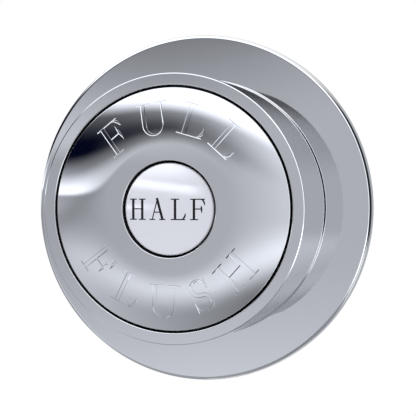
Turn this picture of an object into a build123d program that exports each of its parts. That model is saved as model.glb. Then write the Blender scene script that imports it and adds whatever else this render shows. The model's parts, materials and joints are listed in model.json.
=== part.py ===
"""Push button for a cistern: a ring button for the full flush round a centre button for the half flush.

Each piece is drawn about the one axis, front upwards and the wall at height 0, and then turned to face -Y.
Sizes are in millimetres.
"""
import os

from build123d import *

# Rose and collar, the cover that shows on the wall
rose_radius = 38.0
rose_thickness = 3.0
rose_round = 1.0
rose_wall = 1.0
rose_margin = 5.0
collar_radius = 28.0
collar_height = 21.5
collar_wall = 1.45
collar_root = 0.5
rim_width = 2.5
rim_depth = 3.0
rim_bevel = 0.3

# Ring button for the full flush
ring_gap = 0.45
ring_proud = 1.75
ring_flat_radius = 13.3
ring_edge_wall = 1.2
ring_skirt_wall = 1.8
ring_skirt_length = 13.0
ring_sleeve_wall = 1.8
ring_bevel = 0.25

# Centre button for the half flush
half_radius = 9.65
half_gap = 0.33
half_proud = 1.35
half_crown = 0.35
half_height = 5.0
half_bevel = 0.3
half_socket_radius = 5.0
half_socket_depth = 2.5

# How far each button is pushed, and the room left before it meets its stop
full_travel = 7.0
half_travel = 7.0
stop_room = 0.5
stop_gap = 0.1

# Guide housing with its threaded tail
housing_floor = 3.0
tail_wall = 3.0
tail_skirt = 8.5
thread_pitch = 2.309
thread_depth = 1.15
thread_crest = 0.6
thread_root = 0.4
thread_start = 1.0
thread_angle = 45
web_thickness = 3.0
guide_wall = 2.5
panel_thickness = 18.0

# Gasket, washer and backnut that clamp the housing to the panel
gasket_thickness = 0.9
gasket_margin = 2.0
gasket_width = 7.0
washer_thickness = 2.0
washer_width = 7.0
backnut_wall = 5.0
backnut_thickness = 7.0
backnut_bevel = 2.0

# Carrier under the ring button
carrier_thickness = 3.0
cup_gap = 0.22
cup_wall = 1.6
hub_floor = 2.5
hub_length = 10.5
hub_margin = 0.6
rod_boss_wall = 1.3
gusset_thickness = 1.6
gusset_height = 7.0

# Screws that hold the ring button on its carrier
screw_count = 3
screw_radius = 1.5
screw_head_radius = 2.7
screw_head_height = 1.8
screw_head_bevel = 0.6
screw_grip = 7.0
screw_boss_wall = 1.7
screw_slot_length = 2.4
screw_slot_width = 0.6
screw_slot_depth = 0.9

# Stem of the centre button
stem_radius = 4.0
stem_flats = 7.0
stem_head_height = 2.5
stem_head_margin = 1.1
stem_nose = 1.5

# Push rods, their locknuts and pads
rod_radius = 2.0
rod_thread = 8.0
rod_reach = 70.0
rod_room = 0.41
locknut_flats = 7.0
locknut_thickness = 3.2
rod_guide_wall = 2.0
rod_guide_height = 3.0
pad_radius = 4.5
pad_length = 9.0
pad_grip = 5.0
pad_bevel = 1.2

# Retaining clips
clip_thickness = 1.0
clip_mouth = 4.0
circlip_groove = 0.5
circlip_width = 2.2
circlip_setback = 1.2
stem_clip_groove = 1.0
stem_clip_width = 3.3

# Return springs
full_spring_wire = 1.2
full_spring_turns = 6
full_spring_spare = 4.6
half_spring_wire = 1.0
half_spring_turns = 5
half_spring_spare = 1.0
spring_play = 0.4
spring_facets = 16

# Clearances: between parts that slide, that are screwed or dropped together, and between covers
slide_gap = 0.08
fit_gap = 0.05
cover_gap = 0.2

# Radii that follow
lip_radius = collar_radius - rim_width
collar_bore = collar_radius - collar_wall
spigot_radius = collar_bore - fit_gap
flange_radius = rose_radius - rose_margin
ring_radius = lip_radius - ring_gap
spigot_bore = ring_radius + slide_gap
ring_bore = half_radius + half_gap
sleeve_radius = ring_bore + ring_sleeve_wall
skirt_bore = ring_radius - ring_skirt_wall
screw_circle = (sleeve_radius + skirt_bore) / 2
screw_boss_radius = screw_radius + screw_boss_wall
cup_bore = ring_bore + cup_gap
cup_radius = cup_bore + cup_wall
rod_offset = cup_bore + rod_boss_wall + rod_radius
rod_boss_radius = rod_radius + rod_boss_wall
locknut_corner = locknut_flats / 3 ** 0.5
tail_bore = rod_offset + locknut_corner + rod_room
tail_radius = tail_bore + tail_wall
backnut_bore = tail_radius + fit_gap
backnut_flats = 2 * (backnut_bore + backnut_wall)
guide_bore = stem_radius + slide_gap
guide_radius = guide_bore + guide_wall
hub_bore = guide_radius + slide_gap
full_spring_radius = guide_radius + spring_play + full_spring_wire / 2
half_spring_radius = guide_bore + spring_play + half_spring_wire / 2
hub_radius = full_spring_radius + full_spring_wire / 2 + hub_margin

# Heights that follow, from the button faces down into the wall
rim_height = rose_thickness + collar_height
ring_top = rim_height + ring_proud
half_edge = rim_height + half_proud
half_bottom = half_edge - half_height
stem_head_bottom = half_bottom - stem_head_height
half_spring_length = (half_spring_turns + 1) * half_spring_wire + half_travel + half_spring_spare
guide_top = stem_head_bottom - half_spring_length
circlip_top = guide_top - circlip_setback
circlip_bottom = circlip_top - clip_thickness
hub_top = circlip_bottom - stop_gap
hub_bottom = hub_top - hub_length
full_spring_length = (full_spring_turns + 1) * full_spring_wire + full_travel + full_spring_spare
web_top = hub_bottom - full_spring_length
web_bottom = web_top - web_thickness
tail_end = web_bottom - tail_skirt
carrier_bottom = housing_floor + full_travel + stop_room
carrier_top = carrier_bottom + carrier_thickness
rod_boss_bottom = hub_top - hub_floor
stem_clip_top = web_bottom - stop_gap
stem_clip_bottom = stem_clip_top - clip_thickness
stem_end = stem_clip_bottom - stem_nose - rod_thread
flange_thickness = rose_thickness - rose_wall - fit_gap
spigot_top = rim_height - rim_depth - cover_gap
rod_guide_top = web_top + rod_guide_height
head_seat = carrier_bottom + screw_head_height + fit_gap

# The full-flush rod stands straight below the axis, between two screws, with a gusset between the others
rod_angle = 270
rod_place = (0, -rod_offset)
screw_pitch = 360 / screw_count
screw_places = PolarLocations(screw_circle, screw_count, start_angle=rod_angle + screw_pitch / 2)
gusset_angles = [rod_angle + screw_pitch * i for i in range(1, screw_count)]

facing = Rot(90, 0, 0)
hair = 1e-4


def turned(*outline):
    """A solid of revolution from (radius, height) points."""
    return revolve(make_face(Plane.XZ * Polyline(*outline, close=True)), Axis.Z)


def tube(outer, inner, bottom, top):
    return turned((inner, bottom), (outer, bottom), (outer, top), (inner, top))


def rod(radius, bottom, top, place=(0, 0)):
    return Pos(*place) * extrude(Plane.XY.offset(bottom) * Circle(radius), top - bottom)


def hexagon(flats, bottom, top, place=(0, 0)):
    outline = RegularPolygon(flats / 2, 6, major_radius=False)
    return Pos(*place) * extrude(Plane.XY.offset(bottom) * outline, top - bottom)


def round_edges(solid, radius, height):
    """The circular edges of that radius at that height."""
    circles = solid.edges().filter_by(GeomType.CIRCLE)
    return circles.filter_by(
        lambda edge: abs(edge.radius - radius) < hair and abs(edge.arc_center.Z - height) < hair
    )


def bezel():
    """Chromed cover: a flat rose with a plain collar, hollow behind and open in front."""
    cover = turned(
        (lip_radius, rim_height),
        (collar_radius, rim_height),
        (collar_radius, rose_thickness),
        (rose_radius, rose_thickness),
        (rose_radius, 0),
        (flange_radius + cover_gap, 0),
        (flange_radius + cover_gap, rose_thickness - rose_wall),
        (collar_bore, rose_thickness - rose_wall),
        (collar_bore, rim_height - rim_depth),
        (lip_radius, rim_height - rim_depth),
    )
    cover = fillet(round_edges(cover, rose_radius, rose_thickness), rose_round)
    cover = chamfer(round_edges(cover, collar_radius, rose_thickness), collar_root)
    rim = round_edges(cover, collar_radius, rim_height) + round_edges(cover, lip_radius, rim_height)
    return chamfer(rim, rim_bevel)


def guide_housing():
    """Moulded body: a flange on the wall, a spigot round the ring button, a tail with a web and a guide."""
    body = turned(
        (tail_bore, tail_end),
        (tail_radius, tail_end),
        (tail_radius, 0),
        (flange_radius, 0),
        (flange_radius, flange_thickness),
        (spigot_radius, flange_thickness),
        (spigot_radius, spigot_top),
        (spigot_bore, spigot_top),
        (spigot_bore, housing_floor),
        (tail_bore, housing_floor),
    )
    groove_radius = flange_radius - gasket_margin
    body -= tube(groove_radius, groove_radius - gasket_width, 0, gasket_thickness)
    body += rod(tail_bore + tail_wall / 2, web_bottom, web_top)
    body += rod(guide_radius, web_bottom, guide_top)
    body += rod(rod_radius + slide_gap + rod_guide_wall, web_bottom, rod_guide_top, rod_place)
    body -= rod(rod_radius + slide_gap, web_bottom, rod_guide_top, rod_place)
    body -= rod(guide_bore, web_top, guide_top)
    body -= flatted(guide_bore, stem_flats + 2 * slide_gap, web_bottom, web_top)
    body -= tube(guide_radius, guide_radius - circlip_groove, circlip_bottom, circlip_top)
    return body - tail_thread()


def tail_thread():
    """Groove of the tail's thread: a trapezium swept along a helix, from past the tail's end to the wall."""
    mouth = thread_pitch - thread_crest
    flare = cover_gap * (mouth - thread_root) / 2 / thread_depth
    outside, inside = tail_radius + cover_gap, tail_radius - thread_depth
    section = Polyline(
        (outside, -mouth / 2 - flare),
        (outside, mouth / 2 + flare),
        (inside, thread_root / 2),
        (inside, -thread_root / 2),
        close=True,
    )
    climb = thread_pitch * ((-tail_end - thread_start) // thread_pitch + 1.5)
    path = Helix(thread_pitch, climb, tail_radius)
    groove = sweep(make_face(Plane.XZ * section), path=path, is_frenet=True)
    return Pos(0, 0, -thread_start - mouth / 2 - climb) * Rot(0, 0, thread_angle) * groove


def flatted(radius, flats, bottom, top):
    """A round bar with two flats, which keeps the centre button's word level."""
    bar = Circle(radius) & Rectangle(2 * radius, flats)
    return extrude(Plane.XY.offset(bottom) * bar, top - bottom)


def rose_gasket():
    groove_radius = flange_radius - gasket_margin
    return tube(groove_radius - fit_gap, groove_radius - gasket_width + fit_gap, 0, gasket_thickness)


def backnut_washer():
    inner = tail_radius + cover_gap
    return tube(inner + washer_width, inner, -panel_thickness - washer_thickness, -panel_thickness)


def backnut():
    top = -panel_thickness - washer_thickness
    bottom = top - backnut_thickness
    corner = backnut_flats / 3 ** 0.5
    bevelled = turned(
        (backnut_bore, bottom),
        (corner - backnut_bevel, bottom),
        (corner, bottom + backnut_bevel / 2),
        (corner, top - backnut_bevel / 2),
        (corner - backnut_bevel, top),
        (backnut_bore, top),
    )
    return hexagon(backnut_flats, bottom, top) & bevelled


def spring_clip(groove_radius, outer_radius, bottom, top):
    """A flat clip with an open mouth, sprung into a groove."""
    mouth = Pos(0, outer_radius) * Rectangle(clip_mouth, 2 * outer_radius)
    ring = Circle(outer_radius) - Circle(groove_radius + fit_gap) - mouth
    return extrude(Plane.XY.offset(bottom) * ring, top - bottom)


def hub_circlip():
    groove = guide_radius - circlip_groove
    return spring_clip(groove, groove + circlip_width, circlip_bottom + fit_gap, circlip_top - fit_gap)


def half_stem_clip():
    groove = stem_radius - stem_clip_groove
    outer = groove + stem_clip_width
    return spring_clip(groove, outer, stem_clip_bottom + fit_gap, stem_clip_top - fit_gap)


def full_flush_ring():
    """Chromed ring button: flat round the centre, then one arc to the edge, with screw bosses behind."""
    skirt_bottom = rim_height - ring_skirt_length
    trough_top = rim_height - ring_edge_wall
    outline = [
        Line((ring_bore, ring_top), (ring_flat_radius, ring_top)),
        TangentArc((ring_flat_radius, ring_top), (ring_radius, rim_height), tangent=(1, 0)),
        Line((ring_radius, rim_height), (ring_radius, skirt_bottom)),
        Line((ring_radius, skirt_bottom), (ring_bore, skirt_bottom)),
        Line((ring_bore, skirt_bottom), (ring_bore, ring_top)),
    ]
    ring = revolve(make_face(Plane.XZ * Curve(outline)), Axis.Z)
    ring = chamfer(round_edges(ring, ring_radius, rim_height), ring_bevel)
    ring = chamfer(round_edges(ring, ring_bore, ring_top), ring_bevel)
    ring -= tube(sleeve_radius, ring_bore, skirt_bottom, carrier_top)
    ring -= tube(skirt_bore, sleeve_radius, skirt_bottom, trough_top)
    ring += screw_places * rod(screw_boss_radius, carrier_top, trough_top + ring_edge_wall / 2)
    hole_end = carrier_top + screw_grip + cover_gap
    return ring - screw_places * rod(screw_radius + fit_gap, carrier_top, hole_end)


def full_carrier():
    """Moulded carrier: a plate under the ring button, a cup round the centre button, a hub on the guide."""
    plate = tube(skirt_bore - cover_gap, cup_bore, carrier_bottom, carrier_top)
    cup = turned(
        (hub_bore, hub_bottom),
        (hub_radius, hub_bottom),
        (hub_radius, rod_boss_bottom),
        (cup_radius, rod_boss_bottom),
        (cup_radius, carrier_top),
        (cup_bore, carrier_top),
        (cup_bore, hub_top),
        (hub_bore, hub_top),
    )
    gusset = extrude(
        Plane.XZ * make_face(
            Polyline(
                (cup_radius - cup_wall / 2, carrier_bottom),
                (tail_bore - cover_gap, carrier_bottom),
                (cup_radius - cup_wall / 2, carrier_bottom - gusset_height),
                close=True,
            )
        ),
        gusset_thickness / 2,
        both=True,
    )
    boss = rod(rod_boss_radius, rod_boss_bottom, carrier_top, rod_place)
    boss -= rod(cup_bore, rod_boss_bottom, carrier_top)
    body = plate + cup + boss + [Rot(0, 0, angle) * gusset for angle in gusset_angles]
    body -= rod(rod_radius + fit_gap, rod_boss_bottom, rod_boss_bottom + rod_thread, rod_place)
    body -= screw_places * rod(screw_radius + slide_gap, carrier_bottom, carrier_top)
    return body - screw_places * rod(screw_head_radius + cover_gap, carrier_bottom, head_seat)


def carrier_screws():
    """Pan-head screws, their heads sunk in the underside of the carrier."""
    head_bottom = head_seat - screw_head_height
    head = rod(screw_head_radius, head_bottom, head_seat)
    head = chamfer(round_edges(head, screw_head_radius, head_bottom), screw_head_bevel)
    cross = Rectangle(screw_slot_length, screw_slot_width) + Rectangle(screw_slot_width, screw_slot_length)
    head -= extrude(Plane.XY.offset(head_bottom) * cross, screw_slot_depth)
    return Part() + screw_places * (head + rod(screw_radius, head_seat, carrier_top + screw_grip))


def half_flush_button():
    """Glazed centre button: a shallow domed disc with a socket for its stem."""
    edges = [
        Line((0, half_edge + half_crown), (0, half_bottom)),
        Line((0, half_bottom), (half_radius, half_bottom)),
        Line((half_radius, half_bottom), (half_radius, half_edge)),
        TangentArc((0, half_edge + half_crown), (half_radius, half_edge), tangent=(1, 0)),
    ]
    button = revolve(make_face(Plane.XZ * Curve(edges)), Axis.Z)
    button = chamfer(round_edges(button, half_radius, half_edge), half_bevel)
    return button - rod(half_socket_radius, half_bottom, half_bottom + half_socket_depth)


def half_stem():
    """Turned stem: a spigot and head under the centre button, a shank with two flats and a threaded end."""
    groove = stem_radius - stem_clip_groove
    stem = rod(half_socket_radius - fit_gap, half_bottom, half_bottom + half_socket_depth - fit_gap)
    stem += rod(half_radius - stem_head_margin, stem_head_bottom, half_bottom)
    flats_top = web_top + half_travel + stem_nose
    stem += rod(stem_radius, flats_top, stem_head_bottom)
    stem += flatted(stem_radius, stem_flats, stem_end, flats_top)
    stem -= tube(2 * stem_radius, groove, stem_clip_bottom, stem_clip_top)
    return stem - rod(rod_radius + fit_gap, stem_end, stem_end + rod_thread)


def push_rod(top, place=(0, 0)):
    return rod(rod_radius, -rod_reach, top, place)


def locknut(top, place=(0, 0)):
    return hexagon(locknut_flats, top - locknut_thickness, top, place) - rod(
        rod_radius + fit_gap, top - locknut_thickness, top, place
    )


def push_pad(place=(0, 0)):
    """Moulded pad on a rod's end, rounded where it presses the flush valve."""
    top = pad_grip - rod_reach
    pad = rod(pad_radius, top - pad_length, top)
    pad = chamfer(round_edges(pad, pad_radius, top - pad_length), pad_bevel)
    return Pos(*place) * (pad - rod(rod_radius + fit_gap, -rod_reach - fit_gap, top))


def return_spring(radius, wire, turns, bottom, length):
    """A coil of wire, bent in short straight runs, that just clears its seats."""
    start = bottom + fit_gap + wire / 2
    runs = turns * spring_facets
    rise = (length - wire - 2 * fit_gap) / runs
    bends = [(360 * i / spring_facets, start + rise * i) for i in range(runs + 1)]
    path = Polyline(*[Vector(radius, 0, height).rotate(Axis.Z, turn) for turn, height in bends])
    section = Plane(path @ 0, z_dir=path % 0) * RegularPolygon(wire / 2, 6)
    return sweep(section, path=path, transition=Transition.RIGHT)


pieces = {
    "bezel": bezel(),
    "guide_housing": guide_housing(),
    "rose_gasket": rose_gasket(),
    "backnut_washer": backnut_washer(),
    "backnut": backnut(),
    "hub_circlip": hub_circlip(),
    "full_flush_ring": full_flush_ring(),
    "full_carrier": full_carrier(),
    "carrier_screws": carrier_screws(),
    "full_push_rod": push_rod(rod_boss_bottom + rod_thread - fit_gap, rod_place),
    "full_rod_locknut": locknut(rod_boss_bottom, rod_place),
    "full_push_pad": push_pad(rod_place),
    "full_return_spring": return_spring(
        full_spring_radius, full_spring_wire, full_spring_turns, web_top, full_spring_length
    ),
    "half_flush_button": half_flush_button(),
    "half_stem": half_stem(),
    "half_stem_clip": half_stem_clip(),
    "half_push_rod": push_rod(stem_end + rod_thread - fit_gap),
    "half_rod_locknut": locknut(stem_end),
    "half_push_pad": push_pad(),
    "half_return_spring": return_spring(
        half_spring_radius, half_spring_wire, half_spring_turns, guide_top, half_spring_length
    ),
}

os.makedirs("parts", exist_ok=True)
for name, piece in pieces.items():
    export_step(facing * piece, f"parts/{name}.step")
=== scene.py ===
import json
import math

import bpy
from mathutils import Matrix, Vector
from mathutils.geometry import delaunay_2d_cdt

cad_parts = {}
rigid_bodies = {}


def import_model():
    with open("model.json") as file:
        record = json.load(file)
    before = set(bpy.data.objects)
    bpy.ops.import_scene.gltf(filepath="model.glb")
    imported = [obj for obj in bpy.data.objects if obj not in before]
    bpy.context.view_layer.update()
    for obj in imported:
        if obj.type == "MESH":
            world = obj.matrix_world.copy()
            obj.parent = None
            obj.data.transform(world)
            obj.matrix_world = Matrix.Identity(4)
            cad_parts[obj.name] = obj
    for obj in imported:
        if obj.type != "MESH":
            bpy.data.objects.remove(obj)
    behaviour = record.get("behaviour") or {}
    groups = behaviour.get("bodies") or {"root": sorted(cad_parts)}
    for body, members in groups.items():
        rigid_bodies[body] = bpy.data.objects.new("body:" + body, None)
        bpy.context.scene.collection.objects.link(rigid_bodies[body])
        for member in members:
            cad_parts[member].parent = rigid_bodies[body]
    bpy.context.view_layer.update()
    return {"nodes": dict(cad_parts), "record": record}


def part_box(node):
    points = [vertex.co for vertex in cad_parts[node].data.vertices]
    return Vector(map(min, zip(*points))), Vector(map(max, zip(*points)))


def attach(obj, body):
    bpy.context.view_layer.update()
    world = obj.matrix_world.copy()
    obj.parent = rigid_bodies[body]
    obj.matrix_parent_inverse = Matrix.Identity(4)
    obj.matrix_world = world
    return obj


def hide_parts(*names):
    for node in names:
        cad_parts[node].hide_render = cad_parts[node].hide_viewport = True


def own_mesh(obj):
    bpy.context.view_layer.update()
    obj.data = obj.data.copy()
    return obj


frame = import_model()
scene = bpy.context.scene
scene.view_settings.view_transform = "Standard"

mm = 0.001  # sizes below are in mm, heights stand out from the wall (height = -y)
tiny = 1e-6  # mm, what is shorter counts as nothing
weldGrid = 2e6  # steps per metre: points on the same half micron are welded


def nodeSize(node):
    low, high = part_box(node)
    return {
        "top": -low.y / mm,
        "bottom": -high.y / mm,
        "radius": (high.x - low.x) / 2 / mm,
        "centre": ((high.x + low.x) / 2 / mm, (high.z + low.z) / 2 / mm),
    }


class Wire:
    # a shader socket that takes + - * and **
    def __init__(self, finish, socket):
        self.finish = finish
        self.socket = socket

    def __add__(self, other):
        return self.finish.maths("ADD", self, other)

    def __radd__(self, other):
        return self.finish.maths("ADD", other, self)

    def __sub__(self, other):
        return self.finish.maths("SUBTRACT", self, other)

    def __rsub__(self, other):
        return self.finish.maths("SUBTRACT", other, self)

    def __mul__(self, other):
        return self.finish.maths("MULTIPLY", self, other)

    def __rmul__(self, other):
        return self.finish.maths("MULTIPLY", other, self)

    def __pow__(self, other):
        return self.finish.maths("POWER", self, other)

    def __rpow__(self, other):
        return self.finish.maths("POWER", other, self)


class Finish:
    def __init__(self, name):
        self.material = bpy.data.materials.new(name)
        self.material.use_nodes = True
        self.tree = self.material.node_tree
        self.tree.nodes.clear()

    # any node: settings first, then what its sockets take
    def node(self, kind, settings=None, sockets=None, out=0):
        node = self.tree.nodes.new(kind)
        for key, value in (settings or {}).items():
            if key == "stops":
                ramp = node.color_ramp.elements
                while len(ramp) < len(value):
                    ramp.new(0.5)
                for stop, (place, colour) in zip(ramp, value):
                    stop.position, stop.color = place, colour
            else:
                setattr(node, key, value)
        for key, value in (sockets or {}).items():
            if isinstance(value, Wire):
                self.tree.links.new(value.socket, node.inputs[key])
            else:
                node.inputs[key].default_value = value
        return Wire(self, node.outputs[out]) if len(node.outputs) else None

    def maths(self, operation, a, b):
        return self.node("ShaderNodeMath", {"operation": operation}, {0: a, 1: b})

    # two colours, at the Mix node's own colour sockets
    def mix(self, mask, a, b):
        return self.node("ShaderNodeMix", {"data_type": "RGBA"}, {0: mask, 6: a, 7: b}, out=2)

    # goes softly from one value to another while the input goes from start to end
    def fade(self, value, start, end, first=0.0, last=1.0):
        sockets = {"Value": value, "From Min": start, "From Max": end, "To Min": first, "To Max": last}
        return self.node("ShaderNodeMapRange", {"interpolation_type": "SMOOTHSTEP"}, sockets)

    def place(self, stretch):
        here = self.node("ShaderNodeTexCoord", out="Object")
        return self.node("ShaderNodeVectorMath", {"operation": "MULTIPLY"}, {0: here, 1: stretch})

    def noise(self, scale, detail, stretch=(1, 1, 1)):
        sockets = {"Vector": self.place(stretch), "Scale": scale, "Detail": detail, "Roughness": 0.5}
        return self.node("ShaderNodeTexNoise", {}, sockets)

    # depth in metres
    def bump(self, height, strength, depth):
        return self.node("ShaderNodeBump", {}, {"Height": height, "Strength": strength, "Distance": depth})

    def close(self, surface):
        self.node("ShaderNodeOutputMaterial", {}, {"Surface": surface})
        return self.material

    def shade(self, sockets):
        return self.close(self.node("ShaderNodeBsdfPrincipled", {}, sockets))


# Finishes: uneven is what the roughness gains where the marks are strongest, and a pair such as
# grain, line or peel is the strength and depth of a bump
chromeLook = {
    "bright": (0.84, 0.845, 0.855, 1), "dull": (0.81, 0.815, 0.825, 1), "roughness": 0.028, "uneven": 0.022,
    "hazeScale": 70, "wipeScale": 260, "wipeStretch": (1, 0.15, 0.35),
}


def polishedChrome(look=chromeLook):
    f = Finish("polishedChrome")
    haze = f.noise(look["hazeScale"], detail=3)
    wipe = f.noise(look["wipeScale"], detail=2, stretch=look["wipeStretch"])  # faint cloth marks
    dull = haze * wipe
    return f.shade({
        "Base Color": f.mix(dull, look["bright"], look["dull"]),
        "Metallic": 1.0,
        "Roughness": look["roughness"] + look["uneven"] * dull,
    })


glazeLook = {
    "white": (0.715, 0.73, 0.80, 1), "thin": (0.695, 0.71, 0.785, 1), "roughness": 0.05, "uneven": 0.03,
    "cloudScale": 180, "peelScale": 700, "peel": (0.02, 0.0001),
    "ior": 1.56, "coat": 0.5, "coatRoughness": 0.03,
}


def whiteGlaze(look=glazeLook):
    f = Finish("whiteGlaze")
    cloud = f.noise(look["cloudScale"], detail=3)
    peel = f.noise(look["peelScale"], detail=1)
    return f.shade({
        "Base Color": f.mix(cloud, look["white"], look["thin"]),
        "Roughness": look["roughness"] + look["uneven"] * cloud,
        "Normal": f.bump(peel, *look["peel"]),
        "IOR": look["ior"],
        "Coat Weight": look["coat"],
        "Coat Roughness": look["coatRoughness"],
    })


enamelLook = {
    "black": (0.004, 0.004, 0.006, 1), "worn": (0.014, 0.014, 0.018, 1), "roughness": 0.3, "uneven": 0.12,
    "grainScale": 2600, "shine": 0.08,
}


def blackEnamel(look=enamelLook):
    f = Finish("blackEnamel")
    grain = f.noise(look["grainScale"], detail=3)
    return f.shade({
        "Base Color": f.mix(grain, look["black"], look["worn"]),
        "Roughness": look["roughness"] + look["uneven"] * grain,
        "Specular IOR Level": look["shine"],
    })


nylonLook = {
    "black": (0.030, 0.030, 0.034, 1), "grey": (0.052, 0.052, 0.056, 1), "roughness": 0.40, "uneven": 0.14,
    "grainScale": 5200, "grain": (0.25, 0.00006), "flowScale": 120, "flowStretch": (1, 0.3, 1),
}


def blackNylon(look=nylonLook):
    f = Finish("blackNylon")
    flow = f.noise(look["flowScale"], detail=4, stretch=look["flowStretch"])  # moulding flow marks
    grain = f.noise(look["grainScale"], detail=2)
    return f.shade({
        "Base Color": f.mix(flow * grain, look["black"], look["grey"]),
        "Roughness": look["roughness"] + look["uneven"] * flow,
        "Normal": f.bump(grain, *look["grain"]),
    })


acetalLook = {
    "pale": (0.83, 0.82, 0.78, 1), "warm": (0.76, 0.745, 0.69, 1), "roughness": 0.36, "uneven": 0.16,
    "grainScale": 4200, "grain": (0.2, 0.00005), "flowScale": 90, "flowStretch": (1, 0.4, 1),
}


def naturalAcetal(look=acetalLook):
    f = Finish("naturalAcetal")
    flow = f.noise(look["flowScale"], detail=4, stretch=look["flowStretch"])
    grain = f.noise(look["grainScale"], detail=2)
    return f.shade({
        "Base Color": f.mix(flow, look["pale"], look["warm"]),
        "Roughness": look["roughness"] + look["uneven"] * grain,
        "Normal": f.bump(grain, *look["grain"]),
    })


rubberLook = {
    "dark": (0.075, 0.075, 0.078, 1), "bloom": (0.16, 0.16, 0.16, 1), "roughness": 0.72, "uneven": 0.15,
    "grainScale": 3600, "grain": (0.35, 0.00008), "cloudScale": 160,
}


def greyRubber(look=rubberLook):
    f = Finish("greyRubber")
    cloud = f.noise(look["cloudScale"], detail=5)
    grain = f.noise(look["grainScale"], detail=3)
    return f.shade({
        "Base Color": f.mix(cloud ** 2, look["dark"], look["bloom"]),
        "Roughness": look["roughness"] + look["uneven"] * grain,
        "Normal": f.bump(grain, *look["grain"]),
    })


springLook = {
    "light": (0.60, 0.60, 0.615, 1), "dark": (0.40, 0.40, 0.42, 1), "roughness": 0.24, "uneven": 0.2,
    "lineScale": 1500, "lineStretch": (1, 2.5, 1), "line": (0.12, 0.00003),
}


def springSteel(look=springLook):
    f = Finish("springSteel")
    drawn = f.noise(look["lineScale"], detail=4, stretch=look["lineStretch"])  # marks of wire drawing
    return f.shade({
        "Base Color": f.mix(drawn, look["light"], look["dark"]),
        "Metallic": 1.0,
        "Roughness": look["roughness"] + look["uneven"] * drawn,
        "Normal": f.bump(drawn, *look["line"]),
    })


stainlessLook = {
    "light": (0.70, 0.70, 0.715, 1), "dark": (0.55, 0.55, 0.57, 1), "roughness": 0.20, "uneven": 0.16,
    "lineScale": 2600, "lineStretch": (0.05, 1, 0.05), "line": (0.1, 0.00003), "mottleScale": 140,
}


def stainlessSteel(look=stainlessLook):
    f = Finish("stainlessSteel")
    turned = f.noise(look["lineScale"], detail=2, stretch=look["lineStretch"])  # lathe lines round the rod
    mottle = f.noise(look["mottleScale"], detail=4)
    return f.shade({
        "Base Color": f.mix(turned * mottle, look["light"], look["dark"]),
        "Metallic": 1.0,
        "Roughness": look["roughness"] + look["uneven"] * turned,
        "Normal": f.bump(turned, *look["line"]),
    })


brassLook = {
    "bright": (0.80, 0.63, 0.34, 1), "dull": (0.60, 0.45, 0.23, 1), "roughness": 0.22,
    "turnedUneven": 0.1, "tarnishUneven": 0.12, "tarnishScale": 110,
    "lineScale": 2200, "lineStretch": (0.05, 1, 0.05), "line": (0.12, 0.00003),
}


def turnedBrass(look=brassLook):
    f = Finish("turnedBrass")
    turned = f.noise(look["lineScale"], detail=2, stretch=look["lineStretch"])
    tarnish = f.noise(look["tarnishScale"], detail=5)
    return f.shade({
        "Base Color": f.mix(tarnish ** 2, look["bright"], look["dull"]),
        "Metallic": 1.0,
        "Roughness": look["roughness"] + look["turnedUneven"] * turned + look["tarnishUneven"] * tarnish,
        "Normal": f.bump(turned, *look["line"]),
    })


# painted shade for inside faces: near-black, with a faint random mottle
recessShadeLook = {
    "dark": (0.012, 0.012, 0.013, 1), "mottle": (0.03, 0.03, 0.031, 1), "roughness": 0.5, "uneven": 0.2,
    "mottleScale": 900,
}


# painted shade: a near-black colour on the inside faces of the collar and the ring, so that the gap round the
# ring reads black
def paintedRecessShade(look=recessShadeLook):
    f = Finish("paintedRecessShade")
    mottle = f.noise(look["mottleScale"], detail=4)
    return f.shade({
        "Base Color": f.mix(mottle, look["dark"], look["mottle"]),
        "Roughness": look["roughness"] + look["uneven"] * mottle,
    })


finishes = {
    "polished_chrome": polishedChrome(),
    "white_glaze": whiteGlaze(),
    "black_nylon": blackNylon(),
    "natural_acetal": naturalAcetal(),
    "grey_rubber": greyRubber(),
    "spring_steel": springSteel(),
    "stainless_steel": stainlessSteel(),
    "turned_brass": turnedBrass(),
}
letterEnamel = blackEnamel()
# the painted inside shade, the bezel's and the ring's second finish
recessShade = paintedRecessShade()
print("finishes:", ", ".join(sorted(finishes)))


# a point at an angle round the axis, turned from straight up towards the right
def onAxis(radius, angle, height, centre=(0, 0)):
    return (
        (centre[0] + radius * math.sin(angle)) * mm,
        -height * mm,
        (centre[1] + radius * math.cos(angle)) * mm,
    )


# the same turn for a spot on a flat face, in the radius's own unit
def onFace(radius, angle):
    return Vector((radius * math.sin(angle), radius * math.cos(angle)))


def turnNormal(normal, angle):
    return (normal[0] * math.sin(angle), -normal[1], normal[0] * math.cos(angle))


filletShare = 0.499  # a fillet takes at most this share of a side


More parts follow.
